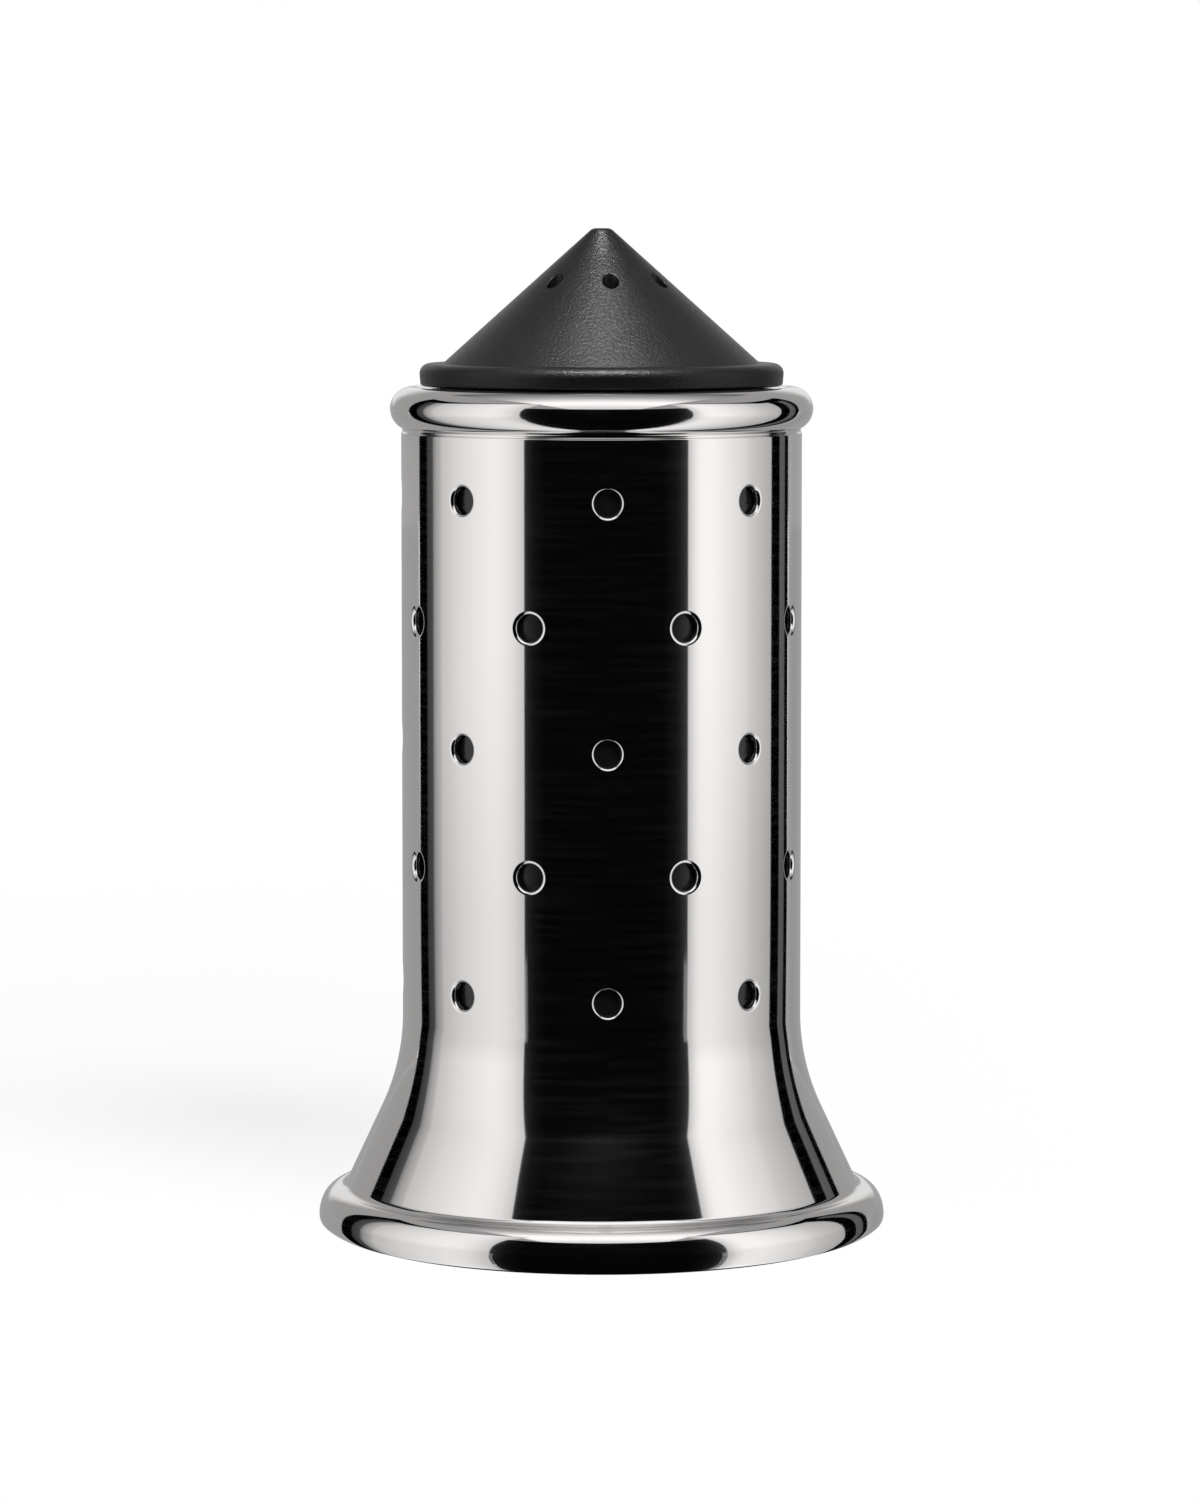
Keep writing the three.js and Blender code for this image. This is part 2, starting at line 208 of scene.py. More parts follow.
class CoverSizes(bpy.types.PropertyGroup):
    """Sizes of the snap-in base cover."""

    wall: length("Wall", "Wall of the cover", 1.4 * MM)
    recess: length("Recess", "Height of the middle above the table", 0.8 * MM)
    clearance: length("Clearance", "Gap between the cover and the curl of the foot", 0.25 * MM)
    ring_width: length("Rest ring width", "Flat ring that stands on the table", 3.7 * MM)
    ring_slope: length("Rest ring slope", "Width of the slope inside the rest ring", 0.8 * MM)
    edge_inset: length("Edge inset", "The cover's edge inside the middle of the curl", 0.65 * MM)
    snap_height: length("Snap height", "Nose of the snap bead above the table", 2.6 * MM)
    snap_reach: length("Snap reach", "How far the snap bead stands out", 0.45 * MM)
    snap_rise: length("Snap rise", "Height of its lower slope", 0.5 * MM)
    snap_land: length("Snap land", "Height of its nose", 0.2 * MM)
    rim_height: length("Rim height", "Top of the rim above the table", 3.2 * MM)
    cup_ring_clearance: length("Cup ring clearance", "Gap between the cup and its ring", 0.15 * MM)
    cup_ring_wall: length("Cup ring wall", "Wall of the ring that centres the cup", 1.2 * MM)
    cup_ring_height: length("Cup ring height", "Top of that ring above the table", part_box("base_cover")[1].z)
    edge: length("Edge", "Rounding of moulded edges", 0.15 * MM)


class FinishSettings(bpy.types.PropertyGroup):
    """Colours and roughness of the materials."""

    steel: colour("Steel", "Colour of the polished steel", (0.745, 0.73, 0.72))
    steel_roughness: amount("Steel roughness", "Roughness of the polish", 0.035)
    polish_depth: length("Polish depth", "Depth of the fine polishing lines", 0.0003 * MM)
    cap: colour("Cap plastic", "Colour of the matt black cap", (0.002, 0.002, 0.0021))
    cap_roughness: amount("Cap roughness", "Roughness of the cap's grain", 0.36)
    grain_depth: length("Grain depth", "Depth of the moulded grain", 0.1 * MM)
    cup: colour("Cup plastic", "Colour of the smooth black cup", (0.004, 0.004, 0.0042))
    seal: colour("Seal silicone", "Colour of the seal ring", (0.6, 0.59, 0.56))
    cover: colour("Cover plastic", "Colour of the matt black base cover", (0.02, 0.02, 0.021))


class StudioSettings(bpy.types.PropertyGroup):
    """The camera and the light round the shaker."""

    camera_distance: length("Camera distance", "From the shaker's axis, on the level", 560 * MM)
    camera_height: length("Camera height", "Above the table", 97.9 * MM)
    camera_turn: angle("Camera turn", "Round the shaker from its front, positive to the right", -1.756)
    camera_pitch: angle("Camera pitch", "Downward tilt", 5.279)
    camera_aside: angle("Camera aside", "Turn away from the shaker's axis, to the left", 0.0153)
    focal_length: amount("Focal length", "In millimetres, for a frame of 36 mm on its long side", 141.62)
    key: amount("Key light", "Power of the lamp at the right front, in watts", 14.0)
    fill: amount("Fill light", "Power of the lamp at the left, in watts", 4.0)
    cap_light: amount("Cap light", "Power of the small lamp above that lights the cap alone, in watts", 4.9)


def bend(centre, level, half_width, half_height, start, end, steps, side=1):
    """A stretch of ellipse in the (radius, height) plane, as rows of radius, height and the two parts of the
    outward normal. A point is the centre plus the half-widths times the cosine and sine of its angle, and the
    normal is the cosine over the half-width and the sine over the half-height. Side is -1 on a hollow bend."""
    turn = np.linspace(start, end, steps + 1)
    across, up = np.cos(turn), np.sin(turn)
    normals = np.stack([across / half_width, up / half_height], 1)
    normals *= side / np.linalg.norm(normals, axis=1, keepdims=True)
    return np.hstack([np.stack([centre + half_width * across, level + half_height * up], 1), normals])


def rounded(corners, closed=False, steps=5):
    """An outline through corners of (radius, height, rounding), with the body on its left. Each corner is an arc
    that touches both its sides: the arc starts a tangent's length before the corner, and its normal turns evenly
    from the first side's normal to the second's. Open outlines keep their two ends as they are."""
    corners = np.array(corners, float)
    places, roundings = corners[:, :2], corners[:, 2:]
    if not closed:
        whole = rounded_corners(places[:-2], places[1:-1], places[2:], roundings[1:-1], steps)
        ends = places[[1, -1]] - places[[0, -2]]
        ends = np.stack([ends[:, 1], -ends[:, 0]], 1) / np.linalg.norm(ends, axis=1, keepdims=True)
        first = np.hstack([places[:1], ends[:1]])
        last = np.hstack([places[-1:], ends[1:]])
        return np.concatenate([first, whole, last])
    whole = rounded_corners(np.roll(places, 1, 0), places, np.roll(places, -1, 0), roundings, steps)
    return np.concatenate([whole, whole[:1]])


def rounded_corners(before, corner, after, rounding, steps):
    """The arcs of rounded(): the tangent's length is the rounding times the tangent of half the turn, and each
    point is the arc's centre plus or minus the rounding times the normal."""
    first, second = corner - before, after - corner
    first = first / np.linalg.norm(first, axis=1, keepdims=True)
    second = second / np.linalg.norm(second, axis=1, keepdims=True)
    turn = np.arctan2(first[:, 0] * second[:, 1] - first[:, 1] * second[:, 0], (first * second).sum(1))[:, None]
    hand = np.sign(turn)
    start = corner - first * rounding * np.tan(np.abs(turn) / 2)
    normal_start = np.arctan2(-first[:, 0], first[:, 1])[:, None]
    facing = normal_start + turn * np.linspace(0, 1, steps + 1)
    facing = np.stack([np.cos(facing), np.sin(facing)], -1)
    centre = start[:, None] - facing[:, :1] * (rounding * hand)[:, None]
    points = centre + facing * (rounding * hand)[:, None]
    return np.concatenate([points, facing], -1).reshape(-1, 4)


def round_directions(azimuths):
    """Outward, sideways and upward unit vectors at azimuths that count from the front, turning to the right."""
    outward = np.stack([np.sin(azimuths), -np.cos(azimuths), np.zeros_like(azimuths)], -1)
    sideways = np.stack([np.cos(azimuths), np.sin(azimuths), np.zeros_like(azimuths)], -1)
    return outward, sideways, np.array([0.0, 0.0, 1.0])


def revolved(profile, azimuths):
    """A profile turned about the axis: the point is the radius times the outward direction plus the height, and
    the normal is made of the profile's normal in the same way."""
    outward, _, upward = round_directions(azimuths)
    points = outward[:, None] * profile[None, :, :1] + upward * profile[None, :, 1:2]
    normals = outward[:, None] * profile[None, :, 2:3] + upward * profile[None, :, 3:]
    return points, normals


def cell_loop(azimuths, levels):
    """The nodes round a cell's edge as (azimuth, level), anticlockwise from its low corner and back to it."""
    low = np.stack([azimuths, np.full(len(azimuths), levels[0])], 1)
    right = np.stack([np.full(len(levels), azimuths[-1]), levels], 1)
    high = np.stack([azimuths[::-1], np.full(len(azimuths), levels[-1])], 1)
    left = np.stack([np.full(len(levels), azimuths[0]), levels[::-1]], 1)
    return np.concatenate([low[:-1], right[:-1], high[:-1], left])


def loop_turns(loop_length, bottom_steps):
    """Even turns round a hole, one for each node of a cell's edge, with the middle of the cell's low side at the
    hole's lowest point."""
    return -QUARTER + FULL * (np.arange(loop_length) - bottom_steps / 2) / (loop_length - 1)


def hole_rings(bore, edge, inner_edge):
    """The rings of a cell with a hole, from the cell's edge over the outer face, round the hole's mouth, through
    its wall, round its inner edge and back over the inner face. Each row holds the share of the way to the
    cell's edge, the distance from the hole's middle, the depth below the outer face, the depth below the inner
    face counted outward, and the lean of the normal, which turns from outward through the hole's middle to
    inward."""
    share = np.linspace(1, 0, HOLE_FACE_STEPS + 1) ** RING_CROWDING
    lean = np.linspace(0, QUARTER, HOLE_EDGE_STEPS + 1)
    still = np.zeros_like
    outer = np.stack([share, np.full_like(share, bore + edge), still(share), still(share), still(share)], 1)
    mouth = np.stack([still(lean), bore + edge * (1 - np.sin(lean)), edge * (1 - np.cos(lean)),
                      still(lean), lean], 1)
    end = np.stack([still(lean), bore + inner_edge * (1 - np.cos(lean)), still(lean),
                    inner_edge * (1 - np.sin(lean)), QUARTER + lean], 1)
    inner = np.stack([share[::-1], np.full_like(share, bore + inner_edge), still(share), still(share),
                      np.full_like(share, HALF)], 1)
    from_outside = np.concatenate([outer, mouth[1:]])
    from_inside = np.concatenate([end, inner[1:]])
    return from_outside, from_inside


def add_surface(name, patches, finish, body, node):
    """Joins grids of points and normals into one closed mesh that stands for a node of the frame. Points of
    neighbouring grids that share a place become one, a cell that closes at the axis becomes a triangle, and each
    face is turned to look the way of its normals."""
    points = np.concatenate([grid.reshape(-1, 3) for grid, _ in patches])
    normals = np.concatenate([grid.reshape(-1, 3) for _, grid in patches])
    quads, offset = [], 0
    for grid, _ in patches:
        index = np.arange(grid.shape[0] * grid.shape[1]).reshape(grid.shape[:2]) + offset
        around = [index[:-1, :-1], index[1:, :-1], index[1:, 1:], index[:-1, 1:]]
        quads.append(np.stack(around, -1).reshape(-1, 4))
        offset += index.size
    keys = np.round(points / WELD).astype(np.int64)
    _, first, shared = np.unique(keys, axis=0, return_index=True, return_inverse=True)
    points, normals = points[first], normals[first]
    quads = shared.reshape(-1)[np.concatenate(quads)]
    facing = np.cross(points[quads[:, 2]] - points[quads[:, 0]], points[quads[:, 3]] - points[quads[:, 1]])
    turned = (facing * normals[quads].sum(1)).sum(1) < 0
    quads[turned] = quads[turned][:, ::-1]
    doubled = quads == np.roll(quads, -1, 1)
    whole = quads[doubled.sum(1) == 0]
    pinched = doubled.sum(1) == 1
    triangles = quads[pinched][~doubled[pinched]].reshape(-1, 3)
    mesh = bpy.data.meshes.new(name)
    mesh.from_pydata(points.tolist(), [], whole.tolist() + triangles.tolist())
    mesh.polygons.foreach_set("use_smooth", np.ones(len(mesh.polygons), bool))
    mesh.update()
    mesh.normals_split_custom_set_from_vertices(normals.tolist())
    mesh.materials.append(finish)
    piece = bpy.data.objects.new(name, mesh)
    bpy.context.scene.collection.objects.link(piece)
    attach(piece, body)
    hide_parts(node)
    return piece


def sleeve_groove(sleeve, inset):
    """Where the groove under the mouth meets its neighbours, for a face that lies inset into the sheet. The
    groove's arc touches the mouth's bead from outside, and a blending arc touches both it and the tube."""
    bead_centre = sleeve.tube_radius + sleeve.bead_overhang - sleeve.bead_radius
    bead_level = sleeve.mouth_height - sleeve.bead_radius
    centre = sleeve.tube_radius - sleeve.groove_depth + sleeve.groove_radius
    reach = sleeve.bead_radius + sleeve.groove_radius
    level = bead_level - math.sqrt(reach ** 2 - (centre - bead_centre) ** 2)
    bead_contact = math.acos((centre - bead_centre) / reach)
    face = sleeve.tube_radius - inset
    radius = sleeve.groove_radius + inset
    blend = sleeve.groove_blend
    blend_contact = math.acos((centre - face + blend) / (radius + blend))
    blend_level = level - (radius + blend) * math.sin(blend_contact)
    return bead_centre, bead_level, centre, level, bead_contact, face, radius, blend_contact, blend_level


def mouth_profile(sleeve, field_top):
    """The sleeve's section from the tube's outside up over the groove and the rolled mouth, round the end of the
    sheet and back down its inside."""
    rows = [[sleeve.tube_radius, field_top, 1, 0]]
    for inset, steps in zip((0, sleeve.sheet), MOUTH_STEPS):
        (bead_centre, bead_level, centre, level, bead_contact,
         face, radius, blend_contact, blend_level) = sleeve_groove(sleeve, inset)
        side = 1 if inset == 0 else -1
        blend = sleeve.groove_blend
        bead = sleeve.bead_radius - inset
        climb = np.concatenate([
            bend(face - blend, blend_level, blend, blend, 0, blend_contact, steps[0], side),
            bend(centre, level, radius, radius, HALF + blend_contact, HALF - bead_contact, steps[1], -side),
            bend(bead_centre, bead_level, bead, bead, -bead_contact, sleeve.mouth_curl_end, steps[2], side),
        ])
        if inset == 0:
            rows = [np.array(rows, float), climb]
            middle = sleeve.bead_radius - sleeve.sheet / 2
            end = sleeve.mouth_curl_end
            rows.append(bend(bead_centre + middle * math.cos(end), bead_level + middle * math.sin(end),
                             sleeve.sheet / 2, sleeve.sheet / 2, end, end + HALF, SHEET_END_STEPS))
        else:
            rows.append(climb[::-1])
    rows.append(np.array([[sleeve.tube_radius - sleeve.sheet, field_top, -1, 0]]))
    return np.concatenate(rows)


def foot_profile(sleeve, field_bottom):
    """The sleeve's section from the tube's inside down the sweep and the slope, round inside the rolled foot to
    the end of the sheet, and back up its outside."""
    sweep_end = sleeve.tube_radius + sleeve.flare_radius * (1 - math.cos(sleeve.flare_angle))
    sweep_level = sleeve.flare_start - sleeve.flare_radius * math.sin(sleeve.flare_angle)
    crown_radius = (sweep_end + (sweep_level - sleeve.foot_crown_height) * math.tan(sleeve.flare_angle)
                    + math.tan((QUARTER - sleeve.flare_angle) / 2) * sleeve.foot_fillet)
    curl_centre = sleeve.foot_radius - sleeve.foot_roll_depth
    curl_radius = sleeve.foot_nose_height - sleeve.table_gap
    middle = curl_radius - sleeve.sheet / 2
    end = sleeve.foot_curl_end
    rows = []
    for inset, steps in zip((sleeve.sheet, 0), reversed(FOOT_STEPS)):
        side = 1 if inset == 0 else -1
        curl = curl_radius - inset
        sweep = sleeve.flare_radius + inset
        fillet = sleeve.foot_fillet + inset
        face = np.concatenate([
            bend(curl_centre, sleeve.foot_nose_height, curl, curl, end, HALF + QUARTER, steps[0], side),
            bend(curl_centre, sleeve.foot_nose_height, sleeve.foot_roll_depth - inset, curl,
                 -QUARTER, 0, steps[1], side)[1:],
            bend(crown_radius, sleeve.foot_nose_height, sleeve.foot_radius - crown_radius - inset,
                 sleeve.foot_crown_height - sleeve.foot_nose_height - inset, 0, QUARTER, steps[2],
                 side)[1:],
            bend(crown_radius, sleeve.foot_crown_height + sleeve.foot_fillet, fillet, fillet,
                 -QUARTER, -HALF + sleeve.flare_angle, steps[3], -side)[1:],
            bend(sleeve.tube_radius + sleeve.flare_radius, sleeve.flare_start, sweep, sweep,
                 HALF + sleeve.flare_angle, HALF, steps[4], -side),
            np.array([[sleeve.tube_radius - inset, field_bottom, side, 0]]),
        ])
        if inset:
            rows.append(face[::-1])
            rows.append(bend(curl_centre + middle * math.cos(end),
                             sleeve.foot_nose_height + middle * math.sin(end),
                             sleeve.sheet / 2, sleeve.sheet / 2, end - HALF, end, SHEET_END_STEPS))
        else:
            rows.append(face)
    return np.concatenate(rows)


def tube_cell(sleeve, azimuths, levels, depth):
    """A plain cell of the tube's outer or inner face."""
    side = 1 if depth == 0 else -1
    outward, _, upward = round_directions(azimuths)
    across = outward[:, None] * (sleeve.tube_radius - depth)
    points = across + upward * levels[None, :, None]
    return points, np.broadcast_to(outward[:, None] * side, points.shape)


def punched_cell(sleeve, azimuths, levels, azimuth, height):
    """A cell of the tube with a punched hole. A point's azimuth and height go evenly from a circle round the
    hole to the cell's edge, and its radius is the tube's less the depth. The normal leans from outward towards
    the hole's middle and on to inward."""
    loop = cell_loop(azimuths, levels)
    turns = loop_turns(len(loop), len(azimuths) - 1)
    outside, inside = hole_rings(sleeve.hole_radius, sleeve.hole_roll, sleeve.hole_burr)
    inside[:, 2] = sleeve.sheet - inside[:, 3]
    share, reach, depth, _, lean = np.concatenate([outside, inside])[:, :, None].transpose(1, 0, 2)
    place = (1 - share) * (azimuth + reach * np.cos(turns) / sleeve.tube_radius) + share * loop[:, 0]
    level = (1 - share) * (height + reach * np.sin(turns)) + share * loop[:, 1]
    outward, sideways, upward = round_directions(place)
    points = outward * (sleeve.tube_radius - depth)[:, :, None] + upward * level[:, :, None]
    towards = -(sideways * np.cos(turns)[None, :, None] + upward * np.sin(turns)[None, :, None])
    normals = outward * np.cos(lean)[:, :, None] + towards * np.sin(lean)[:, :, None]
    return points, normals


class SHAKER_OT_outer_sleeve(bpy.types.Operator):
    """Builds the polished steel sleeve with its punched holes and rolled edges"""

    bl_idname = "shaker.outer_sleeve"
    bl_label = "Steel sleeve"

    def execute(self, context):
        sleeve = context.scene.shaker_sleeve
        columns = 2 * sleeve.holes_per_row
        azimuths = np.linspace(0, FULL, columns * CELL_STEPS + 1) - FULL / columns / 2
        heights = sleeve.lowest_row + sleeve.row_pitch * np.arange(sleeve.rows)
        blend_level = min(sleeve_groove(sleeve, inset)[-1] for inset in (0, sleeve.sheet))
        field_top = blend_level - TUBE_MARGIN * (blend_level - heights[-1])
        borders = np.concatenate([[sleeve.flare_start], (heights[1:] + heights[:-1]) / 2, [field_top]])
        patches = [
            revolved(mouth_profile(sleeve, field_top), azimuths),
            revolved(foot_profile(sleeve, sleeve.flare_start), azimuths),
        ]
        for row, height in enumerate(heights):
            levels = np.linspace(borders[row], borders[row + 1], CELL_ROWS + 1)
            for column in range(columns):
                across = azimuths[column * CELL_STEPS:(column + 1) * CELL_STEPS + 1]
                if (row + column) % 2:
                    patches.append(tube_cell(sleeve, across, levels, 0))
                    patches.append(tube_cell(sleeve, across, levels, sleeve.sheet))
                else:
                    patches.append(punched_cell(sleeve, across, levels, FULL * column / columns, height))
        add_surface("steel_sleeve", patches, steel_finish(context.scene.shaker_finish),
                    "body", "outer_sleeve")
        return {"FINISHED"}


def thread_radius(base, thread, azimuths, levels, low, high, side, offset):
    """Radius of a threaded face: the base plus, or inside a bore less, the ridge's depth. The ridge's middle
    climbs by the lead in a turn, with the starts evenly between. Its height falls smoothly over the flank, and
    fades over the run-out at the ends of the threaded stretch."""
    spacing = thread.lead / thread.starts
    along = levels - offset - thread.lead * azimuths / FULL
    away = np.abs((along + spacing / 2) % spacing - spacing / 2)
    rise = np.clip((thread.land / 2 + thread.flank - away) / thread.flank, 0, 1)
    fade = np.clip(np.minimum(levels - low, high - levels) / thread.runout, 0, 1)
    return base + side * thread.depth * rise ** 2 * (3 - 2 * rise) * fade ** 2 * (3 - 2 * fade)


def threaded(base, thread, azimuths, low, high, side, offset, rows):
    """A threaded stretch of a round face. The normal is the outward direction less the slopes of the radius
    along the turn and up the axis."""
    levels = np.linspace(low, high, rows + 1)
    turn, level = azimuths[:, None], levels[None, :]
    small = 1e-6
    radius = thread_radius(base, thread, turn, level, low, high, side, offset)
    beside = [thread_radius(base, thread, turn + step, level, low, high, side, offset)
              for step in (small, -small)]
    above = [thread_radius(base, thread, turn, level + step, low, high, side, offset)
             for step in (small, -small)]
    outward, sideways, upward = round_directions(azimuths)
    points = outward[:, None] * radius[:, :, None] + upward * level[:, :, None]
    normals = (outward[:, None] - sideways[:, None] * ((beside[0] - beside[1]) / (2 * small) / radius)[:, :, None]
               - upward * ((above[0] - above[1]) / (2 * small))[:, :, None])
    normals *= side / np.linalg.norm(normals, axis=-1, keepdims=True)
    return points, normals


def cone_height(cap, radius, inset):
    """Height of the cone at a radius, for its outside or for a face that lies deeper in its wall."""
    brim_top = cap.brim_underside + cap.brim_thickness
    foot = cap.cone_foot_radius - inset / math.cos(cap.cone_angle)
    return brim_top + (foot - radius) / math.tan(cap.cone_angle)


def pouring_cell(cap, azimuths, radii, azimuth):
    """A cell of the cone with a pouring hole, bored straight down. Seen from above, a point goes evenly from a
    circle round the hole to the cell's edge, and its height is that of the cone's outer or inner face there."""
    loop = cell_loop(azimuths, radii)
    turns = loop_turns(len(loop), len(azimuths) - 1)
    edge = cap.hole_edge
    outside, inside = hole_rings(cap.hole_radius, edge, edge)
    outward, sideways, upward = round_directions(np.array(azimuth))
    loop_outward = round_directions(loop[:, 0])[0] * loop[:, 1:]
    away = sideways * np.cos(turns)[:, None] + outward * np.sin(turns)[:, None]
    grids, normals = [], []
    for rings, inset, side in ((outside, 0, 1), (inside, cap.wall, -1)):
        share, reach, drop, rise, lean = rings[:, :, None, None].transpose(1, 0, 2, 3)
        plan = (1 - share) * (outward * cap.ring_radius + away * reach) + share * loop_outward
        radius = np.linalg.norm(plan, axis=-1, keepdims=True)
        grids.append(plan + upward * (cone_height(cap, radius, inset) - drop + rise))
        slope = plan / radius * math.cos(cap.cone_angle) + upward * math.sin(cap.cone_angle)
        normal = slope * np.cos(lean) - away * np.sin(lean)
        normals.append(normal / np.linalg.norm(normal, axis=-1, keepdims=True))
    return np.concatenate(grids), np.concatenate(normals)


class SHAKER_OT_sprinkler_cap(bpy.types.Operator):
    """Builds the black cap with its cone, brim, pouring holes and threaded skirt"""

    bl_idname = "shaker.sprinkler_cap"
    bl_label = "Sprinkler cap"

    def execute(self, context):
        cap = context.scene.shaker_cap
        thread = context.scene.shaker_thread
        azimuths = np.linspace(0, FULL, cap.holes * CONE_STEPS + 1) - FULL / cap.holes / 2 + cap.turn_at_rest
        band = POUR_BAND * cap.hole_radius
        low, high = cap.ring_radius - band, cap.ring_radius + band
        brim_top = cap.brim_underside + cap.brim_thickness
        lean = math.tan(cap.brim_lean)
        brim_corner = cap.brim_radius + cap.brim_shoulder * (lean + 1 / math.cos(cap.brim_lean) - 1)
        crest, root = cap.skirt_radius, cap.skirt_radius - thread.depth
        bore = cap.skirt_radius - cap.skirt_wall
        edge = cap.hole_edge
        lead_in = 3 * edge
        thread_low = cap.skirt_bottom + lead_in + 2 * edge
        thread_high = cap.brim_underside - 3 * edge
        inner_apex = cone_height(cap, 0, cap.wall)
        tip_level = cap.top - cap.tip_rounding
        tip_centre = (cap.cone_foot_radius - (tip_level - brim_top) * math.tan(cap.cone_angle)
                      - cap.tip_rounding / math.cos(cap.cone_angle))
        skirt = rounded([
            (high, cone_height(cap, high, cap.wall), 0),
            (bore, cone_height(cap, bore, cap.wall), 5 * edge),
            (bore, cap.skirt_bottom, edge),
            (root - lead_in, cap.skirt_bottom, edge),
            (root, cap.skirt_bottom + lead_in, 2 * edge),
            (root, thread_low, 0),
        ])
        brim = rounded([
            (root, thread_high, 0),
            (root, cap.brim_underside, 2 * edge),
            (brim_corner - lean * cap.brim_thickness, cap.brim_underside, cap.brim_heel),
            (brim_corner, brim_top, cap.brim_shoulder),
            (cap.cone_foot_radius + cap.brim_dip, brim_top - cap.brim_dip, 3 * edge),
            (high, cone_height(cap, high, 0), 0),
        ], steps=8)
        inner_tip = rounded([
            (0, inner_apex - 2 * edge, 0),
            (4 * edge, inner_apex - 4 * edge * math.tan(QUARTER - cap.cone_angle), 2 * edge),
            (low, cone_height(cap, low, cap.wall), 0),
        ])
        tip = np.concatenate([
            np.array([[low, cone_height(cap, low, 0), math.cos(cap.cone_angle), math.sin(cap.cone_angle)]]),
            bend(tip_centre, tip_level, cap.tip_rounding, cap.tip_rounding,
                 QUARTER - cap.cone_angle, QUARTER, steps=10),
            np.array([[0, cap.top, 0, 1]]),
        ])
        patches = [
            revolved(skirt, azimuths),
            threaded(root, thread, azimuths, thread_low, thread_high, 1, cap.brim_underside, rows=60),
            revolved(brim, azimuths),
            revolved(tip, azimuths),
            revolved(inner_tip, azimuths),
        ]
        radii = np.linspace(low, high, CONE_ROWS + 1)
        for hole in range(cap.holes):
            across = azimuths[hole * CONE_STEPS:(hole + 1) * CONE_STEPS + 1]
            patches.append(pouring_cell(cap, across, radii, FULL * hole / cap.holes + cap.turn_at_rest))
        add_surface("cap_shell", patches, cap_finish(context.scene.shaker_finish),
                    "cap", "sprinkler_cap")
        return {"FINISHED"}


class SHAKER_OT_salt_cup(bpy.types.Operator):
    """Builds the black cup with its shoulder and threaded neck"""

    bl_idname = "shaker.salt_cup"
    bl_label = "Salt cup"

    def execute(self, context):
        cup = context.scene.shaker_cup
        thread = context.scene.shaker_thread
        azimuths = np.linspace(0, FULL, ROUND_STEPS + 1)
        ceiling = cup.shoulder_top - cup.wall
        thread_low, thread_high = ceiling + 2 * cup.edge, cup.neck_top - 2 * cup.edge
        outside = rounded([
            (0, cup.bottom, 0),
            (cup.radius, cup.bottom, cup.wall),
            (cup.radius, cup.shoulder_top, cup.shoulder),
            (cup.neck_radius, cup.shoulder_top, 0),
            (cup.neck_radius, cup.neck_top, cup.edge),
            (cup.neck_bore, cup.neck_top, cup.edge),
            (cup.neck_bore, thread_high, 0),
        ], steps=8)
        inside = rounded([
            (cup.neck_bore, thread_low, 0),
            (cup.neck_bore, ceiling, cup.edge),
            (cup.radius - cup.wall, ceiling, cup.shoulder - cup.wall),
            (cup.radius - cup.wall, cup.bottom + cup.floor, cup.wall),
            (0, cup.bottom + cup.floor, 0),
        ], steps=8)
        spacing = thread.lead / thread.starts
        offset = context.scene.shaker_cap.brim_underside + spacing / 2
        patches = [
            revolved(outside, azimuths),
            threaded(cup.neck_bore, thread, azimuths, thread_low, thread_high, -1, offset, rows=50),
            revolved(inside, azimuths),
        ]
        add_surface("cup_shell", patches, cup_finish(context.scene.shaker_finish),
                    "body", "salt_cup")
        return {"FINISHED"}


class SHAKER_OT_cap_seal_ring(bpy.types.Operator):
    """Builds the silicone seal ring under the brim"""

    bl_idname = "shaker.cap_seal_ring"
    bl_label = "Seal ring"

    def execute(self, context):
        seal = context.scene.shaker_seal
        azimuths = np.linspace(0, FULL, SEAL_STEPS + 1)
        low, high = seal.bottom + seal.rib, seal.bottom + seal.thickness - seal.rib
        inner, outer = seal.bore, seal.bore + seal.width
        middle = (inner + outer) / 2
        rib = 2 * seal.rib
        outline = rounded([
            (inner, low, rib),
            (middle - rib, low, seal.rib / 2),
            (middle - seal.rib, seal.bottom, seal.rib / 2),
            (middle + seal.rib, seal.bottom, seal.rib / 2),
            (middle + rib, low, seal.rib / 2),
            (outer, low, rib),
            (outer, high, rib),
            (middle + rib, high, seal.rib / 2),
            (middle + seal.rib, seal.bottom + seal.thickness, seal.rib / 2),
            (middle - seal.rib, seal.bottom + seal.thickness, seal.rib / 2),
            (middle - rib, high, seal.rib / 2),
            (inner, high, rib),
        ], closed=True, steps=4)
        add_surface("seal_ring", [revolved(outline, azimuths)], seal_finish(context.scene.shaker_finish),
                    "seal", "cap_seal_ring")
        return {"FINISHED"}


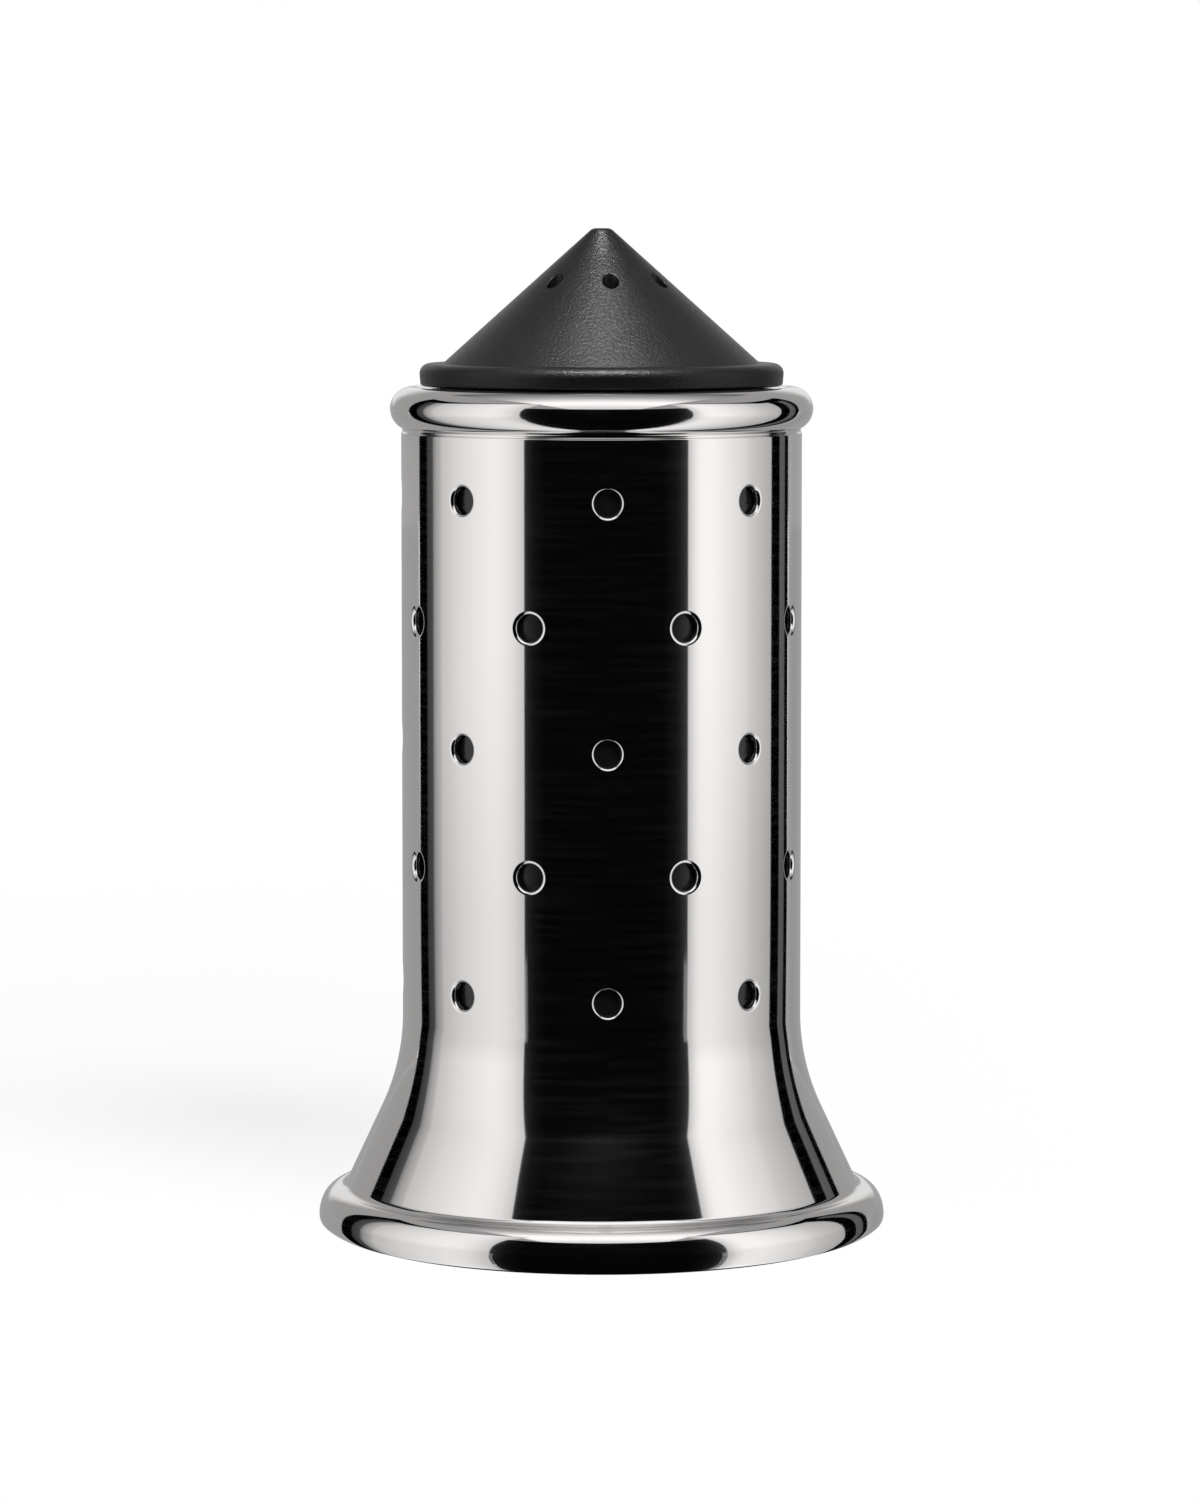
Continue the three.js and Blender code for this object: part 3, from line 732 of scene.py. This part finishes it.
class SHAKER_OT_base_cover(bpy.types.Operator):
    """Builds the black cover that closes the foot and stands on the table"""

    bl_idname = "shaker.base_cover"
    bl_label = "Base cover"

    def execute(self, context):
        cover = context.scene.shaker_cover
        sleeve = context.scene.shaker_sleeve
        azimuths = np.linspace(0, FULL, ROUND_STEPS + 1)
        curl_centre = sleeve.foot_radius - sleeve.foot_roll_depth
        reach = sleeve.foot_nose_height - sleeve.table_gap + cover.clearance
        edge_radius = curl_centre - cover.edge_inset
        edge_angle = HALF + math.acos(cover.edge_inset / reach)
        rim = curl_centre - reach
        ring_inside = edge_radius - cover.ring_width
        top = cover.recess + cover.wall
        cup_ring = context.scene.shaker_cup.radius + cover.cup_ring_clearance
        edge = cover.edge
        under = rounded([
            (0, cover.recess, 0),
            (ring_inside - cover.ring_slope, cover.recess, 2 * edge),
            (ring_inside, 0, 2 * edge),
            (edge_radius, 0, edge / 4),
            (edge_radius, sleeve.foot_nose_height + reach * math.sin(edge_angle), 0),
        ])
        hollow = bend(curl_centre, sleeve.foot_nose_height, reach, reach, edge_angle, HALF, steps=12, side=-1)
        over = rounded([
            (rim, sleeve.foot_nose_height, 0),
            (rim, cover.snap_height - cover.snap_rise, edge),
            (rim + cover.snap_reach, cover.snap_height, edge / 2),
            (rim + cover.snap_reach, cover.snap_height + cover.snap_land, edge / 2),
            (rim, cover.rim_height, edge),
            (rim - cover.wall, cover.rim_height, edge),
            (rim - cover.wall, cover.wall, 2 * edge),
            (ring_inside - cover.ring_slope + cover.recess, cover.wall, 2 * edge),
            (ring_inside - cover.ring_slope, top, 2 * edge),
            (cup_ring + cover.cup_ring_wall, top, edge),
            (cup_ring + cover.cup_ring_wall, cover.cup_ring_height, edge),
            (cup_ring, cover.cup_ring_height, edge),
            (cup_ring, top, edge),
            (0, top, 0),
        ])
        add_surface("base_plate", [revolved(np.concatenate([under, hollow, over]), azimuths)],
                    cover_finish(context.scene.shaker_finish), "body", "base_cover")
        return {"FINISHED"}


class Value:
    """A number on a node's output. Python's operators work on it, and each adds its Math node."""

    def __init__(self, finish, socket):
        self.finish = finish
        self.socket = socket

    def maths(self, operation, *inputs, clamp=False):
        return self.finish.node("Math", {"operation": operation, "use_clamp": clamp}, dict(enumerate(inputs)))

    def __add__(self, other):
        return self.maths("ADD", self, other)

    def __radd__(self, other):
        return self.maths("ADD", other, self)

    def __sub__(self, other):
        return self.maths("SUBTRACT", self, other)

    def __rsub__(self, other):
        return self.maths("SUBTRACT", other, self)

    def __mul__(self, other):
        return self.maths("MULTIPLY", self, other)

    def __rmul__(self, other):
        return self.maths("MULTIPLY", other, self)

    def __truediv__(self, other):
        return self.maths("DIVIDE", self, other)

    def __rtruediv__(self, other):
        return self.maths("DIVIDE", other, self)

    def __pow__(self, other):
        return self.maths("POWER", self, other)

    def held(self):
        """The number, kept between 0 and 1."""
        return self.maths("ADD", self, 0.0, clamp=True)


class Finish:
    """A material's node tree, or the world's, and the one way that its nodes are added."""

    def __init__(self, owner, output):
        owner.use_nodes = True
        self.owner = owner
        self.tree = owner.node_tree
        self.tree.nodes.clear()
        self.output = self.tree.nodes.new(output)

    def node(self, kind, settings=None, inputs=None, output=0, value=True):
        """Adds a node of a kind, sets what settings names, then fills or links its inputs."""
        made = self.tree.nodes.new("ShaderNode" + kind)
        for name, setting in (settings or {}).items():
            setattr(made, name, setting)
        for name, given in (inputs or {}).items():
            self.put(made.inputs[name], given)
        chosen = made.outputs[output]
        return Value(self, chosen) if value else chosen

    def put(self, socket, given):
        """Links a socket to another node's output, or sets its own value."""
        if isinstance(given, Value):
            given = given.socket
        if isinstance(given, bpy.types.NodeSocket):
            self.tree.links.new(given, socket)
        else:
            socket.default_value = given

    def place(self):
        """The three object coordinates of the shaded point, in metres."""
        coordinates = self.node("TexCoord", output="Object", value=False)
        return [self.node("SeparateXYZ", None, {0: coordinates}, axis) for axis in ("X", "Y", "Z")]

    def vector(self, x, y, z):
        """A vector of three numbers."""
        return self.node("CombineXYZ", None, {0: x, 1: y, 2: z}, value=False)

    def noise(self, vector, scale, detail=2.0, roughness=0.5):
        """Smooth noise between 0 and 1."""
        return self.node("TexNoise", None,
                         {"Vector": vector, "Scale": scale, "Detail": detail, "Roughness": roughness}, "Fac")

    def seen(self):
        """One for rays from the camera and for those that metal and glass send on, and nought for the rest."""
        rays = [self.node("LightPath", output=name)
                for name in ("Is Camera Ray", "Is Glossy Ray", "Is Transmission Ray")]
        return (rays[0] + rays[1] + rays[2]).held()

    def mixed(self, share, first, second):
        """A colour between two, by the share of the second. The mix node's colours are its sockets 6, 7 and 2."""
        return self.node("Mix", {"data_type": "RGBA"}, {0: share, 6: (*first, 1), 7: (*second, 1)}, 2, value=False)

    def bumped(self, strength, depth, height):
        """The normal of a surface with small bumps of a depth in metres."""
        return self.node("Bump", None, {"Strength": strength, "Distance": depth, "Height": height},
                         "Normal", value=False)

    def shown(self, kind, inputs):
        """Links a shader of a kind to the output, and gives back the finished material or world."""
        shader = self.node(kind, None, inputs, value=False)
        self.tree.links.new(shader, self.output.inputs["Surface"])
        return self.owner


def new_finish(name):
    """An empty material."""
    return Finish(bpy.data.materials.new(name), "ShaderNodeOutputMaterial")


def shaded(base, share):
    """A colour made lighter or darker by a factor."""
    return tuple(min(1.0, part * share) for part in base)


POLISH_SCALE = 9000.0           # polishing lines to a metre, across their run round the axis
WIPE_SCALE = 1800.0             # the same for the broader marks of the polishing wheel
SMOOTH_DEPTH = 0.01 * MM        # bumps on smooth plastic and silicone


def steel_finish(settings):
    """Polished stainless steel: fine polishing lines and broader wheel marks run round the axis under a faint
    haze, and the wheel marks carry a thin dull veil."""
    finish = new_finish("polished_steel")
    x, y, z = finish.place()
    turn = finish.node("Math", {"operation": "ARCTAN2"}, {0: x, 1: y})
    radius = (x * x + y * y) ** 0.5
    around = finish.vector(turn * 0.9, radius * POLISH_SCALE, z * POLISH_SCALE)
    lines = finish.noise(around, 1.0, 3.0, 0.6)
    coarse = finish.noise(finish.vector(turn * 2.0, radius * WIPE_SCALE, z * WIPE_SCALE), 1.0, 2.0)
    haze = finish.noise(finish.vector(x, y, z), 90.0, 3.0)
    return finish.shown("BsdfPrincipled", {
        "Base Color": finish.mixed(haze, shaded(settings.steel, 1.02), shaded(settings.steel, 0.98)),
        "Metallic": 1.0,
        "Roughness": settings.steel_roughness + haze * 0.02 + lines * 0.015,
        "Coat Weight": (coarse * 3.0 - 1.3).held() * 0.18,
        "Coat Roughness": 0.5,
        "Normal": finish.bumped(0.35, settings.polish_depth, lines * 0.7 + coarse * 0.3),
    })


def grained_finish(name, base, roughness, grain_depth, grain_scale):
    """Matt moulded plastic: two sizes of fine grain, with slight changes of tone and sheen."""
    finish = new_finish(name)
    x, y, z = finish.place()
    point = finish.vector(x, y, z)
    grain = finish.noise(point, grain_scale, 2.0, 0.6)
    fine = finish.noise(point, 2.7 * grain_scale, 1.0)
    broad = finish.noise(point, 110.0, 3.0)
    return finish.shown("BsdfPrincipled", {
        "Base Color": finish.mixed(broad, shaded(base, 0.85), shaded(base, 1.2)),
        "Roughness": roughness + broad * 0.06 + (grain - 0.5) * 0.2,
        "Specular IOR Level": 0.27,
        "Normal": finish.bumped(0.7, grain_depth, grain * 0.65 + fine * 0.35),
    })


def cap_finish(settings):
    """The cap's matt black plastic."""
    return grained_finish("cap_plastic", settings.cap, settings.cap_roughness, settings.grain_depth, 3000.0)


def cover_finish(settings):
    """The base cover's matt black plastic, a little coarser."""
    return grained_finish("cover_plastic", settings.cover, 0.55, settings.grain_depth, 3600.0)


def cup_finish(settings):
    """Smooth black plastic with a faint moulded ripple."""
    finish = new_finish("cup_plastic")
    x, y, z = finish.place()
    ripple = finish.noise(finish.vector(x, y, z), 260.0, 2.0)
    return finish.shown("BsdfPrincipled", {
        "Base Color": finish.mixed(ripple, shaded(settings.cup, 0.9), shaded(settings.cup, 1.15)),
        "Roughness": 0.2 + ripple * 0.08,
        "Normal": finish.bumped(0.2, SMOOTH_DEPTH, ripple),
    })


def seal_finish(settings):
    """Milky silicone with a faint mottle."""
    finish = new_finish("seal_silicone")
    x, y, z = finish.place()
    mottle = finish.noise(finish.vector(x, y, z), 700.0, 3.0)
    return finish.shown("BsdfPrincipled", {
        "Base Color": finish.mixed(mottle, shaded(settings.seal, 0.94), shaded(settings.seal, 1.04)),
        "Roughness": 0.42 + mottle * 0.1,
        "Normal": finish.bumped(0.3, SMOOTH_DEPTH, mottle),
    })


FRAME_LONG_SIDE = 36            # of the camera's frame, in millimetres
FLOOR_SINK = 0.02 * MM          # the floor lies this far under the rest ring, so that the two never flicker
FLOOR_REACH = 2.5               # half the width of the floor
SHADOW_REACH = 0.34             # beyond this distance the floor is plain white
SHADOW_SHARE = 0.52             # share of the floor's own light and shadow that the camera sees near the shaker

# How far from the shaker's axis a card with such an upper edge stands
DISTANCES = {"flag": 0.238, "softbox": 0.3, "frame": 0.3, "background": 1.25}
TABLE_SHARE = 0.88              # a card's light on the table, as a share of its light where it stands
TOP_SHARE = 0.95                # the same for its upper edge

# Heights of the cards' edges at turns in degrees to either side of the camera's direction
EDGES = {
    "table": ((0, 0), (180, 0)),
    "flag": ((0, 0.209), (180, 0.209)),
    "softbox": ((45, 0.447), (60, 0.4), (75, 0.345), (88.5, 0.302), (100, 0.265), (109, 0.235), (140, 0.2)),
    "frame": ((45, 0.46), (60, 0.418), (75, 0.37), (88.5, 0.328), (100, 0.305), (109, 0.285), (140, 0.26)),
    "background": ((0, 0.03), (180, 0.03)),
}

# The cards round the shaker: name, lower and upper edge, and their light at turns in degrees from the camera's
# direction, as a round mirror shows them
CARDS = (
    ("front_flag", "table", "flag",
     ((-45.6, 0.03), (-42.5, 0.014), (-39.4, 0.006), (-33, 0.002), (36, 0.002), (43, 0.0065), (46.2, 0.014),
      (49.4, 0.035), (51.4, 0.06))),
    ("left_softbox", "table", "softbox",
     ((-114.6, 0.2), (-113.3, 0.33), (-111.3, 0.45), (-107.3, 0.58), (-105.4, 0.73), (-99.8, 0.8), (-91.2, 0.93),
      (-83.3, 1.01), (-75.8, 1.09), (-65.1, 1.16), (-58.4, 1.12), (-51.9, 0.99), (-48.7, 0.87), (-44, 0.75))),
    ("right_softbox", "table", "softbox",
     ((49, 0.8), (52.6, 0.84), (55.8, 1.085), (59.1, 1.23), (65.9, 1.26), (72.9, 1.17), (80.2, 1.07), (92.1, 0.9),
      (96.3, 0.79), (105.4, 0.67), (115.8, 0.55))),
    ("left_softbox_frame", "softbox", "frame", ((-121.1, 0), (-44, 0))),
    ("right_softbox_frame", "softbox", "frame", ((49, 0), (115.8, 0))),
    ("left_reflector", "table", "softbox", ((-121.1, 0.05), (-114.6, 0.09))),
    ("left_frame", "table", "frame", ((-130.6, 0), (-121.1, 0))),
    ("right_frame", "table", "frame", ((115.8, 0), (125.3, 0))),
    ("right_reflector", "table", "softbox", ((125.3, 0.14), (132, 0.12))),
    ("right_reflector_frame", "softbox", "frame", ((125.3, 0), (132, 0))),
    ("right_edge", "table", "frame", ((132, 0), (136.9, 0))),
    ("left_background", "table", "background", ((-180, 0.44), (-130.6, 0.46))),
    ("right_background", "table", "background", ((136.9, 0.5), (145, 0.42), (180, 0.46))),
)
BACK_LIGHT = 0.4                # light of the strip of table behind the shaker, between the two backgrounds
DOME_RADIUS = 1.3               # grey room beyond the cards
ROOM_GLOW = 0.4                 # light of the room
WALL_GLOW = 0.45                # what its white wall adds
SKY_GLOW = 0.3                  # light of the world, where it isn't the white background
PANEL_HEIGHT = 0.6              # the light above the shaker
PANEL_HALF_WIDTH = 0.32
PANEL_LIGHT = ((-1.0, 0.9), (-0.54, 1.0), (-0.35, 1.33), (-0.21, 1.33), (-0.08, 0.93), (0.045, 0.56), (0.21, 0.36),
               (0.5, 0.11))


# The lamps: name, setting with the power, place, sizes, and the pieces lit where it doesn't light everything
LAMPS = (
    ("key_lamp", "key", (0.36, -0.78, 0.85), (0.4, 0.4), ()),
    ("fill_lamp", "fill", (-0.7, -0.35, 0.6), (0.6, 0.6), ()),
    ("cap_lamp", "cap_light", (0.0, -0.17, 0.54), (0.14, 0.1), ("cap_shell",)),
)


def stage_grid(name, points, finish):
    """A stage mesh from a grid of points."""
    rows, columns = points.shape[:2]
    index = np.arange(rows * columns).reshape(rows, columns)
    quads = np.stack([index[:-1, :-1], index[1:, :-1], index[1:, 1:], index[:-1, 1:]], -1).reshape(-1, 4)
    mesh = bpy.data.meshes.new(name)
    mesh.from_pydata(points.reshape(-1, 3).tolist(), [], quads.tolist())
    mesh.materials.append(finish)
    made = bpy.data.objects.new(name, mesh)
    bpy.context.scene.collection.objects.link(made)
    return made


def only_mirrored(made):
    """Shows a stage card in reflections and nowhere else."""
    made.visible_camera = False
    made.visible_diffuse = False
    made.visible_transmission = False
    made.visible_volume_scatter = False
    made.visible_shadow = False


def card_finish():
    """A light whose strength is painted on its mesh."""
    finish = new_finish("card_light")
    painted = finish.node("Attribute", {"attribute_name": "light"}, output="Fac")
    return finish.shown("Emission", {"Strength": painted})


def add_card(name, points, light, finish):
    """A studio card that only the steel and plastic mirror, with its light painted on the points."""
    made = stage_grid(name, points, finish)
    painted = made.data.attributes.new("light", "FLOAT", "POINT")
    painted.data.foreach_set("value", np.ascontiguousarray(light, dtype=np.float32).ravel())
    only_mirrored(made)


def round_card(low, high, stops, camera_turn, foot):
    """A card round the shaker, which goes on along the table to the foot if it stands on the table. A ray that
    comes from the camera meets the foot at half a turn and leaves at that turn, so a place on the card is the
    foot's radius times the direction at half the turn, plus the run along the table times the direction at the
    turn, plus the height."""
    places, lights = np.array(stops, float).T
    turns = np.union1d(places, np.linspace(*places[[0, -1]], 25))
    along = np.interp(turns, places, lights)
    bottom, top = (np.interp(np.abs(turns), *np.array(EDGES[edge]).T) for edge in (low, high))
    reach = DISTANCES[high] - foot
    run = np.array([-0.2 * foot, 0, reach, reach, reach])
    climb = np.array([0, 0, 0, 0.1, 1])
    share = np.array([TABLE_SHARE, TABLE_SHARE, TABLE_SHARE, 1, TOP_SHARE])
    if low != "table":
        run, climb, share = run[3:], np.array([0, 1]), share[3:]
    start = round_directions(np.radians(turns) / 2 + camera_turn)[0][:, None] * foot
    away, _, upward = round_directions(np.radians(turns) + camera_turn)
    rise = FLOOR_SINK + bottom[:, None] + (top - bottom)[:, None] * climb
    return start + away[:, None] * run[None, :, None] + upward * rise[:, :, None], along[:, None] * share


def room_finish():
    """A grey room with a white wall behind the shaker. The wall's light falls off softly at its sides, over the
    shaker, at its top and near the floor."""
    finish = new_finish("grey_room")
    x, y, z = (part / DOME_RADIUS for part in finish.place())
    behind = (2.8 - x.maths("ABSOLUTE", x) * 6.5).held() * (y * 4.0).held()
    wall = (2.6 - z * 5.0).held() * (z * 12.0 - 0.7).held()
    return finish.shown("Emission", {"Strength": behind * wall * WALL_GLOW + ROOM_GLOW})


def floor_finish():
    """A white floor. The camera and reflections see it as plain white, with a share of its own light and shadow
    near the shaker, most of it behind and to the left."""
    finish = new_finish("white_floor")
    x, y, _ = finish.place()
    distance = (x * x + y * y) ** 0.5
    near = (1.0 - distance / SHADOW_REACH).held() ** 2.0
    behind_left = (y * 12.0 - 0.05).held() * (0.6 - x * 10.0).held()
    share = finish.seen() * (1.0 - near * behind_left * SHADOW_SHARE)
    card = finish.node("BsdfDiffuse", None, {"Color": (0.83, 0.83, 0.83, 1)}, value=False)
    white = finish.node("Emission", None, {"Strength": 1.0}, value=False)
    return finish.shown("MixShader", {0: share, 1: card, 2: white})


def add_lamp(name, place, sizes, power, lit):
    """A soft lamp that looks at the shaker. It makes no glint on the steel: either it is left out of all
    reflections, or it lights the chosen pieces alone."""
    lamp = bpy.data.lights.new(name, "AREA")
    lamp.shape = "RECTANGLE"
    lamp.size, lamp.size_y = sizes
    lamp.energy = power
    made = bpy.data.objects.new(name, lamp)
    bpy.context.scene.collection.objects.link(made)
    made.location = place
    centre = (CAD_BOX[0] + CAD_BOX[1]) / 2
    made.rotation_euler = (centre - made.location).to_track_quat("-Z", "Y").to_euler()
    made.visible_glossy = bool(lit)
    made.visible_camera = False
    if lit:
        chosen = bpy.data.collections.new(name + "_subjects")
        for piece in lit:
            chosen.objects.link(piece)
        made.light_linking.receiver_collection = chosen


class SHAKER_OT_studio(bpy.types.Operator):
    """Builds the floor, the cards and room that the steel mirrors, the lamps, the white background and the camera"""

    bl_idname = "shaker.studio"
    bl_label = "Studio"

    def execute(self, context):
        studio = context.scene.shaker_studio
        reach = np.linspace(-FLOOR_REACH, FLOOR_REACH, 3)
        across, along = np.meshgrid(reach, reach, indexing="ij")
        stage_grid("floor", np.stack([across, along, np.full_like(across, -FLOOR_SINK)], -1), floor_finish())

        finish = card_finish()
        foot = context.scene.shaker_sleeve.foot_radius
        for name, low, high, stops in CARDS:
            add_card(name, *round_card(low, high, stops, studio.camera_turn, foot), finish)
        away, aside, upward = round_directions(HALF + studio.camera_turn)
        across, along = np.meshgrid([-foot, foot], [0, DISTANCES["background"]], indexing="ij")
        strip = aside * across[..., None] + away * along[..., None] + upward * FLOOR_SINK
        add_card("back_background", strip, np.full_like(across, BACK_LIGHT), finish)
        places, lights = np.array(PANEL_LIGHT).T
        across, along = np.meshgrid([-PANEL_HALF_WIDTH, PANEL_HALF_WIDTH], places, indexing="ij")
        panel = np.stack([across, along, np.full_like(across, PANEL_HEIGHT)], -1)
        add_card("top_softbox", panel, np.broadcast_to(lights, across.shape), finish)
        room = bend(0, 0, DOME_RADIUS, DOME_RADIUS, -0.1, QUARTER, 24)
        only_mirrored(stage_grid("grey_room", revolved(room, np.linspace(0, FULL, 97))[0], room_finish()))

        for name, power, place, sizes, lit in LAMPS:
            add_lamp(name, place, sizes, getattr(studio, power), [bpy.data.objects[piece] for piece in lit])

        world = bpy.data.worlds.new("white_background")
        context.scene.world = world
        backdrop = Finish(world, "ShaderNodeOutputWorld")
        backdrop.shown("Background", {
            "Color": (1, 1, 1, 1), "Strength": backdrop.seen() * (1.0 - SKY_GLOW) + SKY_GLOW})

        camera = bpy.data.cameras.new("camera")
        camera.lens = studio.focal_length
        camera.sensor_width = FRAME_LONG_SIDE
        viewer = bpy.data.objects.new("camera", camera)
        context.scene.collection.objects.link(viewer)
        viewer.location = (studio.camera_distance * math.sin(studio.camera_turn),
                           -studio.camera_distance * math.cos(studio.camera_turn), studio.camera_height)
        viewer.rotation_euler = Euler(
            (QUARTER - studio.camera_pitch, 0, studio.camera_turn + studio.camera_aside))
        camera.clip_end = 10
        context.scene.camera = viewer
        context.scene.view_settings.view_transform = "Standard"
        return {"FINISHED"}


class SHAKER_PT_sidebar(bpy.types.Panel):
    """Builds the shaker's pieces and shows their settings in the 3D view's sidebar"""

    bl_idname = "SHAKER_PT_sidebar"
    bl_label = "Salt Shaker"
    bl_space_type = "VIEW_3D"
    bl_region_type = "UI"
    bl_category = "Salt Shaker"

    def draw(self, context):
        for operator in OPERATORS:
            self.layout.operator(operator.bl_idname)
        for name, group in GROUPS.items():
            box = self.layout.box()
            box.label(text=group.__doc__)
            for setting in group.__annotations__:
                box.prop(getattr(context.scene, name), setting)


OPERATORS = (
    SHAKER_OT_outer_sleeve,
    SHAKER_OT_salt_cup,
    SHAKER_OT_sprinkler_cap,
    SHAKER_OT_cap_seal_ring,
    SHAKER_OT_base_cover,
    SHAKER_OT_studio,
)
GROUPS = {
    "shaker_sleeve": SleeveSizes,
    "shaker_cap": CapSizes,
    "shaker_thread": ThreadSizes,
    "shaker_cup": CupSizes,
    "shaker_seal": SealSizes,
    "shaker_cover": CoverSizes,
    "shaker_finish": FinishSettings,
    "shaker_studio": StudioSettings,
}


def register():
    """Adds the settings, operators and panel to Blender."""
    for name, group in GROUPS.items():
        bpy.utils.register_class(group)
        setattr(bpy.types.Scene, name, PointerProperty(type=group))
    for operator in OPERATORS:
        bpy.utils.register_class(operator)
    bpy.utils.register_class(SHAKER_PT_sidebar)


def unregister():
    """Takes the settings, operators and panel out again."""
    bpy.utils.unregister_class(SHAKER_PT_sidebar)
    for operator in reversed(OPERATORS):
        bpy.utils.unregister_class(operator)
    for name, group in reversed(GROUPS.items()):
        delattr(bpy.types.Scene, name)
        bpy.utils.unregister_class(group)


def main():
    """Builds every piece and the studio."""
    register()
    bpy.ops.shaker.outer_sleeve()
    bpy.ops.shaker.salt_cup()
    bpy.ops.shaker.sprinkler_cap()
    bpy.ops.shaker.cap_seal_ring()
    bpy.ops.shaker.base_cover()
    bpy.ops.shaker.studio()


if __name__ == "__main__":
    main()
